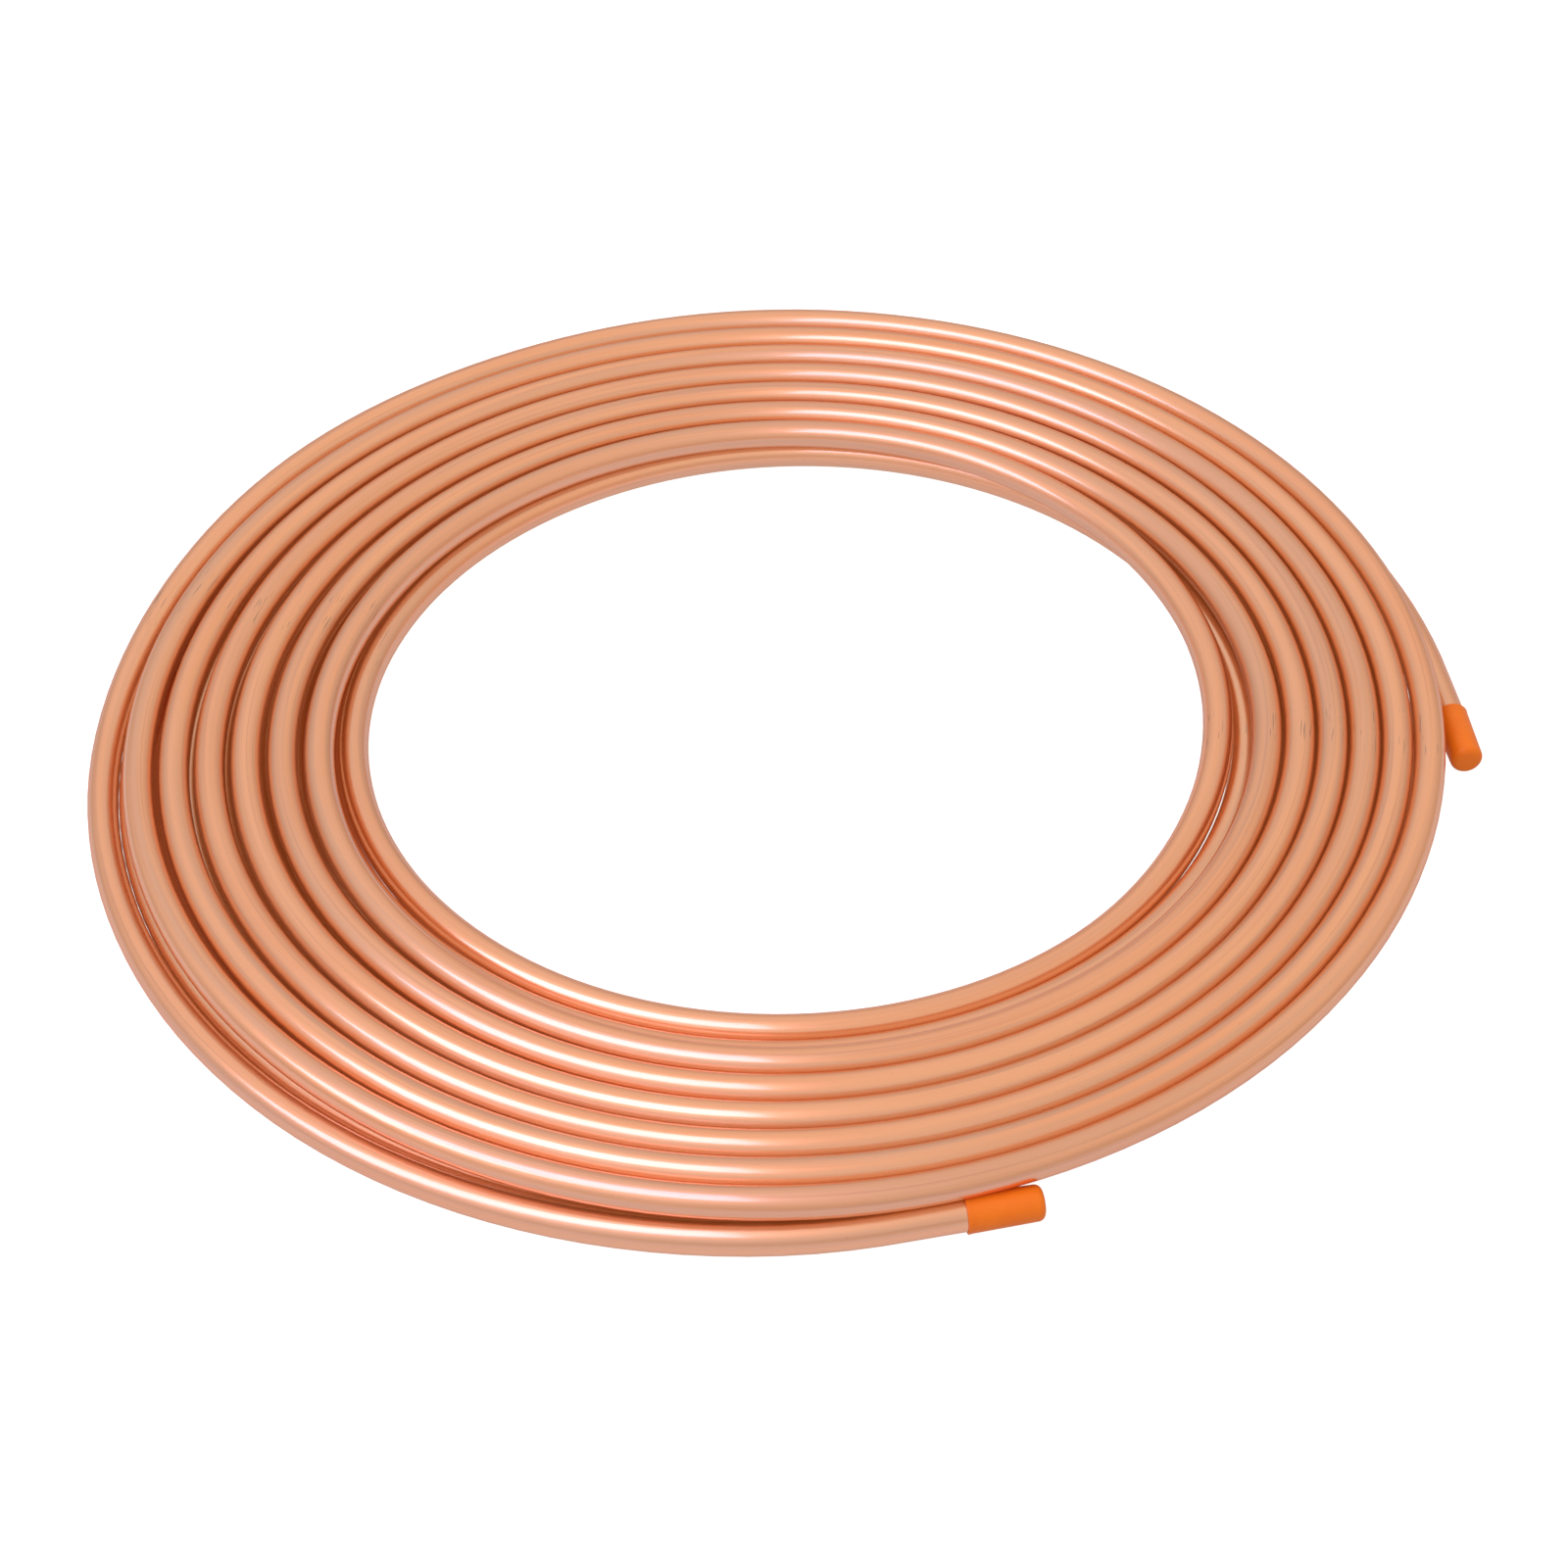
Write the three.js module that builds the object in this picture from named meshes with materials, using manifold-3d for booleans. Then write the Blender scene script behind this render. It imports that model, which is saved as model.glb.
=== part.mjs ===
// Soft copper tube, wound into a flat coil of two nested layers, with a push-on cap on each free end.
// Units are millimetres, +Z is up, and the coil lies on Z = 0.
import * as THREE from "three";
import { mergeVertices } from "three/addons/utils/BufferGeometryUtils.js";
import Module from "manifold-3d";

// ---- Driving dimensions -------------------------------------------------------------------------
const TUBE_DIAMETER = 9.525; // 3/8 inch refrigeration tube
const TUBE_WALL = 0.81;
const TURN_GAP = 1.075; // between neighbouring turns of one layer
const TURNS_PER_LAYER = 7;
const EYE_RADIUS = 130.2; // clear radius through the middle of the coil

const FRONT_TAIL = {
  rootAngle: 142, // degrees round the coil, where the tail starts to leave the upper layer
  clearAngle: 205, // where it lies on the floor, clear of the pack
  bendEndAngle: 275, // where the round bend ends and the straight end starts
  standOff: 7.8, // from the outer upper turn to the free tail, centre to centre, across the coil
  straightLength: 47,
};
const SIDE_TAIL = {
  rootAngle: 66, // degrees round the coil, where the tail starts to leave the lower layer
  clearAngle: 3,
  bendEndAngle: 2,
  standOff: 14.4, // from the outer lower turn to the free tail, centre to centre, across the coil
  straightLength: 40,
};
// The last upper turn isn't a whole one: on the angles round the coil, in degrees, it leaves the turn
// outside it, lies one pitch further in, and comes down inside the eye.
const LAST_TURN = {
  leaveAngle: 262,
  alongAngle: 185,
  dropAngle: 42,
  landAngle: -32,
};
const LANDING_STEP = 0.3; // how far its end stands proud of the lower turn that it joins
const ROOT_SINK = 1; // how far the root of a tail or of the last turn is set into the pack

const CAP_LENGTH = 21.5;
const CAP_WALL = 0.7;
const CAP_END_WALL = 1.6;
const CAP_TAPER = 0.25; // how much smaller the closed end is than the mouth, in radius
const CAP_EDGE_RADIUS = 1.5;
const CAP_CLEARANCE = 0.3; // between the tube and the cap's bore, all round and at the tube's end

const RIDGE_SIDES = 10; // flats round one turn of the pack
const PACK_SEGMENTS = 48; // facets round the coil
const TAIL_SIDES = 12;
const BORE_SIDES = 8;
const TAIL_STEP = 15; // length of one facet along a tail
const CAP_SEGMENTS = 24;
const CAP_EDGE_STEPS = 3; // facets over the rounded edge of a cap

// ---- Sizes that follow from them ----------------------------------------------------------------
const TUBE_RADIUS = TUBE_DIAMETER / 2;
const TURN_PITCH = TUBE_DIAMETER + TURN_GAP; // from one turn to the next in the same layer
// The tube spirals inwards above and outwards below, so the upper turns cross over the lower ones and
// rest on their crests.
const LAYER_RISE = TUBE_DIAMETER;
const LOWER_HEIGHT = TUBE_RADIUS;
const UPPER_HEIGHT = LOWER_HEIGHT + LAYER_RISE;
const LOWER_INNER = EYE_RADIUS + TUBE_RADIUS;
const UPPER_INNER = LOWER_INNER + TURN_PITCH / 2;
const PACK_WIDTH = TURN_PITCH * (TURNS_PER_LAYER - 1);
const LOWER_OUTER = LOWER_INNER + PACK_WIDTH;
const UPPER_OUTER = UPPER_INNER + PACK_WIDTH;
const CAP_BORE = TUBE_RADIUS + CAP_CLEARANCE;
const CAP_MOUTH = CAP_BORE + CAP_WALL;
const wasm = await Module();
wasm.setup();

const copper = new THREE.MeshStandardMaterial({ color: 0xdd9a72, roughness: 0.28, metalness: 1 });
const orangePlastic = new THREE.MeshStandardMaterial({ color: 0xf5701f, roughness: 0.45, metalness: 0 });

// ---- Helpers ------------------------------------------------------------------------------------
const radians = THREE.MathUtils.degToRad;

// Corner of a regular polygon whose flats touch the circle, so that its flats keep the true size.
function cornerRadius(radius, sides) {
  return radius / Math.cos(Math.PI / sides);
}

function toSolid(geometry) {
  const bare = geometry.index ? geometry.toNonIndexed() : geometry.clone();
  bare.deleteAttribute("normal");
  bare.deleteAttribute("uv");
  const merged = mergeVertices(bare, 1e-4);
  const mesh = new wasm.Mesh({
    numProp: 3,
    vertProperties: new Float32Array(merged.attributes.position.array),
    triVerts: new Uint32Array(merged.index.array),
  });
  mesh.merge();
  return new wasm.Manifold(mesh);
}

function toGeometry(solid) {
  const mesh = solid.getMesh();
  const geometry = new THREE.BufferGeometry();
  geometry.setAttribute("position", new THREE.BufferAttribute(mesh.vertProperties, 3));
  geometry.setIndex(new THREE.BufferAttribute(mesh.triVerts, 1));
  geometry.computeVertexNormals();
  return geometry;
}

// A closed profile of (radius, height) points that runs over the top first, turned about Z.
function turned(profile, segments) {
  const closed = [...profile, profile[0].clone()].reverse();
  return new THREE.LatheGeometry(closed, segments).rotateX(Math.PI / 2);
}

// Corners of one turn's section between two corner numbers, counted round it from straight out.
function turnCorners(centreRadius, centreHeight, first, last) {
  const reach = cornerRadius(TUBE_RADIUS, RIDGE_SIDES);
  const step = Math.sign(last - first);
  const corners = [];
  for (let i = first; i !== last + step; i += step) {
    const angle = (i / RIDGE_SIDES) * 2 * Math.PI;
    corners.push(new THREE.Vector2(
      centreRadius + reach * Math.cos(angle), centreHeight + reach * Math.sin(angle)));
  }
  return corners;
}

// A free tail lies with its corners on the floor. A cap is thicker than the tube, so it lifts the end.
const TAIL_HEIGHT = cornerRadius(TUBE_RADIUS, TAIL_SIDES);
const END_HEIGHT = CAP_MOUTH;

// ---- The wound pack -----------------------------------------------------------------------------
// Half a section is five flats. The upper turns show as ridges on top, and the lower ones below. The
// two innermost lower turns are bare on top, where only the last upper turn lies, and the outermost
// upper turn overhangs the rim.
function packProfile() {
  const half = RIDGE_SIDES / 2;
  const profile = [
    ...turnCorners(LOWER_INNER, LOWER_HEIGHT, half, 1),
    ...turnCorners(LOWER_INNER + TURN_PITCH, LOWER_HEIGHT, half - 1, half - 2),
  ];
  for (let i = 1; i < TURNS_PER_LAYER; i += 1) {
    const innermost = i === 1;
    const outermost = i === TURNS_PER_LAYER - 1;
    const first = innermost ? half + 1 : half;
    const last = outermost ? -2 : 0;
    profile.push(...turnCorners(UPPER_INNER + i * TURN_PITCH, UPPER_HEIGHT, first, last));
  }
  for (let i = TURNS_PER_LAYER - 1; i >= 0; i -= 1) {
    const innermost = i === 0;
    const outermost = i === TURNS_PER_LAYER - 1;
    const first = outermost ? 1 : 0;
    const last = innermost ? 1 - half : -half;
    profile.push(...turnCorners(LOWER_INNER + i * TURN_PITCH, LOWER_HEIGHT, first, last));
  }
  return profile;
}

// ---- The last upper turn and the free tails -----------------------------------------------------
function polar(radius, degrees, height) {
  const angle = radians(degrees);
  return new THREE.Vector3(radius * Math.cos(angle), radius * Math.sin(angle), height);
}

// A tail follows its turn, eases outwards and down to the floor, and ends in a straight run.
class TailCurve extends THREE.Curve {
  constructor(tail, rootRadius, rootHeight) {
    super();
    this.tail = tail;
    this.rootRadius = rootRadius;
    this.rootHeight = rootHeight;
    this.freeRadius = rootRadius + tail.standOff;
    this.sweep = tail.bendEndAngle - tail.rootAngle;
    this.bendLength = Math.abs(radians(this.sweep)) * this.freeRadius;
    this.fullLength = this.bendLength + tail.straightLength;
  }

  bendPoint(share) {
    const turnedBy = share * this.sweep;
    const leaving = turnedBy / (this.tail.clearAngle - this.tail.rootAngle);
    const eased = THREE.MathUtils.smoothstep(leaving, 0, 1);
    const radius = THREE.MathUtils.lerp(this.rootRadius, this.freeRadius, eased);
    const height = THREE.MathUtils.lerp(this.rootHeight, TAIL_HEIGHT, eased);
    return polar(radius, this.tail.rootAngle + turnedBy, height);
  }

  endDirection() {
    return polar(1, this.tail.bendEndAngle + 90 * Math.sign(this.sweep), 0);
  }

  getPoint(t, target = new THREE.Vector3()) {
    const travelled = t * this.fullLength;
    if (travelled <= this.bendLength) {
      return target.copy(this.bendPoint(travelled / this.bendLength));
    }
    const along = travelled - this.bendLength;
    const rise = THREE.MathUtils.smoothstep(along, 0, this.tail.straightLength - CAP_LENGTH);
    const height = THREE.MathUtils.lerp(TAIL_HEIGHT, END_HEIGHT, rise);
    return target.copy(this.bendPoint(1)).addScaledVector(this.endDirection(), along).setZ(height);
  }
}

function easedShare(value, from, to) {
  return THREE.MathUtils.smoothstep((value - from) / (to - from), 0, 1);
}

// The last upper turn, from its root in the turn outside it to its end on the innermost lower turn.
class LastTurnCurve extends THREE.Curve {
  constructor() {
    super();
    const sweep = LAST_TURN.leaveAngle - LAST_TURN.landAngle;
    this.fullLength = radians(sweep) * UPPER_INNER;
  }

  getPoint(t, target = new THREE.Vector3()) {
    const angle = THREE.MathUtils.lerp(LAST_TURN.leaveAngle, LAST_TURN.landAngle, t);
    const inward = easedShare(angle, LAST_TURN.leaveAngle, LAST_TURN.alongAngle);
    const dropped = easedShare(angle, LAST_TURN.dropAngle, LAST_TURN.landAngle);
    const upperRadius = UPPER_INNER + (TURN_PITCH + ROOT_SINK) * (1 - inward);
    const upperHeight = UPPER_HEIGHT - ROOT_SINK * (1 - inward);
    const radius = THREE.MathUtils.lerp(upperRadius, LOWER_INNER + LANDING_STEP, dropped);
    const height = THREE.MathUtils.lerp(upperHeight, LOWER_HEIGHT + LANDING_STEP, dropped);
    return target.copy(polar(radius, angle, height));
  }
}

// A closed outline with flats at its top, bottom and sides.
function polygon(PathType, radius, sides) {
  const corners = [];
  for (let i = 0; i < sides; i += 1) {
    const angle = ((i + 0.5) / sides) * 2 * Math.PI;
    corners.push(new THREE.Vector2(radius * Math.cos(angle), radius * Math.sin(angle)));
  }
  return new PathType(corners);
}

// The free tails show their bore, and the last turn is solid as the pack is.
function sweptTube(curve, isHollow) {
  const section = polygon(THREE.Shape, cornerRadius(TUBE_RADIUS, TAIL_SIDES), TAIL_SIDES);
  if (isHollow) {
    const boreRadius = cornerRadius(TUBE_RADIUS - TUBE_WALL, BORE_SIDES);
    section.holes.push(polygon(THREE.Path, boreRadius, BORE_SIDES));
  }
  const steps = Math.ceil(curve.fullLength / TAIL_STEP);
  return toSolid(new THREE.ExtrudeGeometry(section, { steps, extrudePath: curve }));
}

// ---- Sub-parts ----------------------------------------------------------------------------------
function makeCoil(tails) {
  let coil = toSolid(turned(packProfile(), PACK_SEGMENTS)).add(sweptTube(new LastTurnCurve(), false));
  for (const tail of tails) {
    coil = coil.add(sweptTube(tail, true));
  }
  const mesh = new THREE.Mesh(toGeometry(coil), copper);
  mesh.name = "tube_coil";
  return mesh;
}

// A thin cup, drawn from the floor of its bore over the mouth to the middle of its closed end.
function capProfile() {
  const end = CAP_MOUTH - CAP_TAPER;
  const edge = new THREE.Vector2(end - CAP_EDGE_RADIUS, CAP_LENGTH - CAP_EDGE_RADIUS);
  const boreFloor = CAP_LENGTH - CAP_END_WALL;
  const profile = [[0, boreFloor], [CAP_BORE, boreFloor], [CAP_BORE, 0], [CAP_MOUTH, 0]];
  for (let i = 0; i <= CAP_EDGE_STEPS; i += 1) {
    const angle = (i / CAP_EDGE_STEPS) * (Math.PI / 2);
    profile.push([edge.x + CAP_EDGE_RADIUS * Math.cos(angle), edge.y + CAP_EDGE_RADIUS * Math.sin(angle)]);
  }
  profile.push([0, CAP_LENGTH]);
  return profile.map(([radius, along]) => new THREE.Vector2(radius, along));
}

// The cap is pushed on until its end wall is one clearance short of the tube's end.
function makeCap(name, tail) {
  const mesh = new THREE.Mesh(new THREE.LatheGeometry(capProfile(), CAP_SEGMENTS), orangePlastic);
  const direction = tail.endDirection();
  const overlap = CAP_LENGTH - CAP_END_WALL - CAP_CLEARANCE;
  mesh.quaternion.setFromUnitVectors(new THREE.Vector3(0, 1, 0), direction);
  mesh.position.copy(tail.getPoint(1)).addScaledVector(direction, -overlap);
  mesh.name = name;
  return mesh;
}

// ---- Assembly -----------------------------------------------------------------------------------
const frontTail = new TailCurve(FRONT_TAIL, UPPER_OUTER, UPPER_HEIGHT - ROOT_SINK);
const sideTail = new TailCurve(SIDE_TAIL, LOWER_OUTER, LOWER_HEIGHT + ROOT_SINK);

const roll = new THREE.Group();
roll.add(makeCoil([frontTail, sideTail]));
roll.add(makeCap("end_cap_front", frontTail));
roll.add(makeCap("end_cap_side", sideTail));

// The origin is the middle of the whole part, on the floor.
const extent = new THREE.Box3().setFromObject(roll, true);
const middle = extent.getCenter(new THREE.Vector3());
roll.position.set(-middle.x, -middle.y, 0);

export default roll;
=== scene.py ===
"""Copper tube coil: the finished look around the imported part.

One soft copper tube is wound inwards in an upper layer of turns, comes down inside the eye, and winds
outwards again in a lower layer. A push-on plastic cap closes each free end.
"""

import logging
import math
from collections.abc import Callable
from dataclasses import dataclass, field
from enum import Enum

import bmesh
import bpy
import numpy as np
from mathutils import Matrix, Vector

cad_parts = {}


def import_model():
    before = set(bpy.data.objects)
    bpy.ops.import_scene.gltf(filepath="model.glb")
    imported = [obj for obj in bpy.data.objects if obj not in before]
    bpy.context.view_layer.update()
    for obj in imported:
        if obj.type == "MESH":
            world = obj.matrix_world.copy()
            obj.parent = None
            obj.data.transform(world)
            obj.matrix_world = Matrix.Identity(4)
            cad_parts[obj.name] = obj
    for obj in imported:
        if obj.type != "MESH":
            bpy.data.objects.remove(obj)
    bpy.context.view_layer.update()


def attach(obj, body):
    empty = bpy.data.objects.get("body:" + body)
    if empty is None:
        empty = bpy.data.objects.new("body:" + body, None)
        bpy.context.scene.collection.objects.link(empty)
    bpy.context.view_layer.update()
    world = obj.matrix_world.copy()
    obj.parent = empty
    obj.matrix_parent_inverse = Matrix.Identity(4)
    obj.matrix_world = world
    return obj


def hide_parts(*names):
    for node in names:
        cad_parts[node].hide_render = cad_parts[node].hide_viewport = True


LOG = logging.getLogger("copper_tube_coil")
MM = 0.001

# Middle of the coil's turns in the part's frame, in millimetres, and where its front is round it.
COIL_AXIS = (-2.888, 3.756)
FRONT_ANGLE = math.radians(270.0)

# What a node's input takes: an output to link, a number, or a vector or colour.
Socket = bpy.types.NodeSocket
Feed = Socket | float | tuple

# Where a Mix node has its two colours and its mixed colour among its sockets.
MIX_FIRST = 6
MIX_SECOND = 7
MIX_RESULT = 2

WHITE = (1.0, 1.0, 1.0, 1.0)

# Two places this near each other, in metres, are the same one.
TOUCHING = 1e-6


class End(Enum):
    """The two free ends of the tube, each with its cap's name."""

    FRONT = "end_cap_front"
    SIDE = "end_cap_side"


class Part(Enum):
    """What is selected in edit mode."""

    FACE = "FACE"
    EDGE = "EDGE"


# ---- Small helpers ------------------------------------------------------------------------------
def smoothstep(value: np.ndarray | float) -> np.ndarray | float:
    """Ease from 0 to 1 as the value goes from 0 to 1.

    Args:
        value: One number or an array of them.

    Returns:
        The eased value, held at 0 and 1 outside the range.
    """
    held = np.clip(value, 0.0, 1.0)
    return held * held * (3.0 - 2.0 * held)


def deselect_all() -> None:
    """Leave edit mode and deselect every object."""
    if bpy.context.mode != "OBJECT":
        bpy.ops.object.mode_set(mode="OBJECT")
    bpy.ops.object.select_all(action="DESELECT")


def make_active(obj: bpy.types.Object) -> None:
    """Select one object alone and make it the active one.

    Args:
        obj: The object.
    """
    deselect_all()
    obj.select_set(True)
    bpy.context.view_layer.objects.active = obj


def select_parts(obj: bpy.types.Object, kind: Part, test: Callable[..., bool]) -> int:
    """Select the faces or edges of a mesh that pass a test.

    Args:
        obj: The mesh object, which is in edit mode.
        kind: Whether faces or edges are selected.
        test: Called with each of them, it says whether it is wanted.

    Returns:
        How many are selected.
    """
    bpy.ops.mesh.select_mode(type=kind.value)
    bpy.ops.mesh.select_all(action="DESELECT")
    mesh = bmesh.from_edit_mesh(obj.data)
    wanted = [part for part in (mesh.faces if kind is Part.FACE else mesh.edges) if test(part)]
    for part in wanted:
        part.select_set(True)
    bmesh.update_edit_mesh(obj.data)
    return len(wanted)


# ---- Shader building ----------------------------------------------------------------------------
@dataclass
class NodeNet:
    """Places and links nodes in one node tree."""

    tree: bpy.types.NodeTree

    def add(self, kind: str, **settings: str | float | bool) -> bpy.types.Node:
        """Add a node and give it plain settings.

        Args:
            kind: The node's type name.
            **settings: Properties of the node, by name.

        Returns:
            The new node.
        """
        node = self.tree.nodes.new(kind)
        for name, value in settings.items():
            setattr(node, name, value)
        return node

    def link(self, source: Socket, target: Socket) -> None:
        """Link an output to an input."""
        self.tree.links.new(source, target)

    def feed(self, target: Socket, value: Feed) -> None:
        """Give an input either a link or a plain value.

        Args:
            target: The input.
            value: An output to link, or what the input is set to.
        """
        if isinstance(value, bpy.types.NodeSocket):
            self.link(value, target)
        else:
            target.default_value = value

    def maths(
        self,
        operation: str,
        first: Feed,
        second: Feed = 0.0,
        third: Feed = 0.0,
        clamp: bool = False,
    ) -> Socket:
        """Combine numbers with one Math node.

        Args:
            operation: The Math node's operation.
            first: The first number or output.
            second: The second number or output.
            third: The third number or output.
            clamp: Whether the result is held between 0 and 1.

        Returns:
            The node's output.
        """
        node = self.add("ShaderNodeMath", operation=operation, use_clamp=clamp)
        for socket, value in zip(node.inputs, (first, second, third)):
            self.feed(socket, value)
        return node.outputs[0]

    def ramp(
        self, value: Feed, low: float, high: float, to_low: float = 0.0, to_high: float = 1.0
    ) -> Socket:
        """Map a number smoothly from one range to another and hold it there.

        Args:
            value: The number or output to map.
            low: Where the range starts.
            high: Where the range ends.
            to_low: What its start becomes.
            to_high: What its end becomes.

        Returns:
            The output of the mapped number.
        """
        node = self.add("ShaderNodeMapRange", interpolation_type="SMOOTHSTEP")
        for socket, number in zip(node.inputs, (value, low, high, to_low, to_high)):
            self.feed(socket, number)
        return node.outputs[0]

    def blend(self, factor: Feed, first: Feed, second: Feed) -> Socket:
        """Mix two colours by a factor.

        Args:
            factor: How much of the second colour there is.
            first: The first colour.
            second: The second colour.

        Returns:
            The output of the mixed colour.
        """
        node = self.add("ShaderNodeMix", data_type="RGBA")
        self.feed(node.inputs[0], factor)
        self.feed(node.inputs[MIX_FIRST], first)
        self.feed(node.inputs[MIX_SECOND], second)
        return node.outputs[MIX_RESULT]

    def noise(self, vector: Feed, scale: Feed, detail: float, roughness: float) -> Socket:
        """Add a noise texture on a vector.

        Args:
            vector: The place that the noise is read at.
            scale: How fine the noise is.
            detail: How many finer layers it has.
            roughness: How strong the finer layers are.

        Returns:
            The output of the noise's value.
        """
        node = self.add("ShaderNodeTexNoise")
        self.feed(node.inputs["Vector"], vector)
        self.feed(node.inputs["Scale"], scale)
        node.inputs["Detail"].default_value = detail
        node.inputs["Roughness"].default_value = roughness
        return node.outputs[0]

    def scaled(self, vector: Feed, x: float, y: float, z: float) -> Socket:
        """Stretch a vector by its own amount along each axis.

        Args:
            vector: The vector output.
            x: The amount along X.
            y: The amount along Y.
            z: The amount along Z.

        Returns:
            The output of the stretched vector.
        """
        node = self.add("ShaderNodeVectorMath", operation="MULTIPLY")
        self.feed(node.inputs[0], vector)
        node.inputs[1].default_value = (x, y, z)
        return node.outputs[0]

    def bump(self, height: Socket, strength: float, distance: float) -> Socket:
        """Turn a height pattern into a relief of the surface.

        Args:
            height: The output of the height.
            strength: How strongly it shows.
            distance: How deep it is, in metres.

        Returns:
            The output of the surface normal.
        """
        node = self.add("ShaderNodeBump")
        node.inputs["Strength"].default_value = strength
        node.inputs["Distance"].default_value = distance
        self.link(height, node.inputs["Height"])
        return node.outputs["Normal"]


def new_material(name: str) -> tuple[bpy.types.Material, NodeNet, bpy.types.Node]:
    """Make a material with one Principled shader.

    Args:
        name: The material's name.

    Returns:
        The material, its node net and its Principled node.
    """
    material = bpy.data.materials.new(name)
    material.use_nodes = True
    net = NodeNet(material.node_tree)
    return material, net, material.node_tree.nodes["Principled BSDF"]


@dataclass
class SurfaceGroups:
    """Shared surface effects, each built once as a node group."""

    # Each pattern: its finer layers and how strong they are.
    scuff_layers: tuple = (5.0, 0.62)
    speck_layers: tuple = (2.0, 0.5)
    # Where each pattern starts to show and where it is full.
    scuffs_show: tuple = (0.48, 0.7)
    specks_show: tuple = (0.66, 0.76)
    # How much finer the specks are than the scuffs.
    speck_fineness: float = 9.0

    def __post_init__(self) -> None:
        """Build the groups."""
        self.fine_marks = self._fine_marks()

    def _fine_marks(self) -> bpy.types.NodeTree:
        """Build the group for faint scuffs and specks from handling.

        Returns:
            The node group, with a Vector and a Scale input and a Scuffs and a Specks output.
        """
        group = bpy.data.node_groups.new("fine_marks", "ShaderNodeTree")
        face = group.interface
        face.new_socket("Vector", in_out="INPUT", socket_type="NodeSocketVector")
        face.new_socket("Scale", in_out="INPUT", socket_type="NodeSocketFloat")
        face.new_socket("Scuffs", in_out="OUTPUT", socket_type="NodeSocketFloat")
        face.new_socket("Specks", in_out="OUTPUT", socket_type="NodeSocketFloat")
        net = NodeNet(group)
        given = net.add("NodeGroupInput")
        result = net.add("NodeGroupOutput")
        place, scale = given.outputs["Vector"], given.outputs["Scale"]
        broad = net.noise(place, scale, *self.scuff_layers)
        tight = net.maths("MULTIPLY", scale, self.speck_fineness)
        dots = net.noise(place, tight, *self.speck_layers)
        net.link(net.ramp(broad, *self.scuffs_show), result.inputs["Scuffs"])
        net.link(net.ramp(dots, *self.specks_show), result.inputs["Specks"])
        return group

    def place_marks(self, net: NodeNet, vector: Socket, scale: float) -> tuple[Socket, Socket]:
        """Place the marks group in a material.

        Args:
            net: The material's node net.
            vector: The vector output that the marks lie on.
            scale: How fine the scuffs are.

        Returns:
            The outputs Scuffs and Specks.
        """
        node = net.add("ShaderNodeGroup")
        node.node_tree = self.fine_marks
        net.feed(node.inputs["Vector"], vector)
        node.inputs["Scale"].default_value = scale
        return node.outputs["Scuffs"], node.outputs["Specks"]


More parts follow.
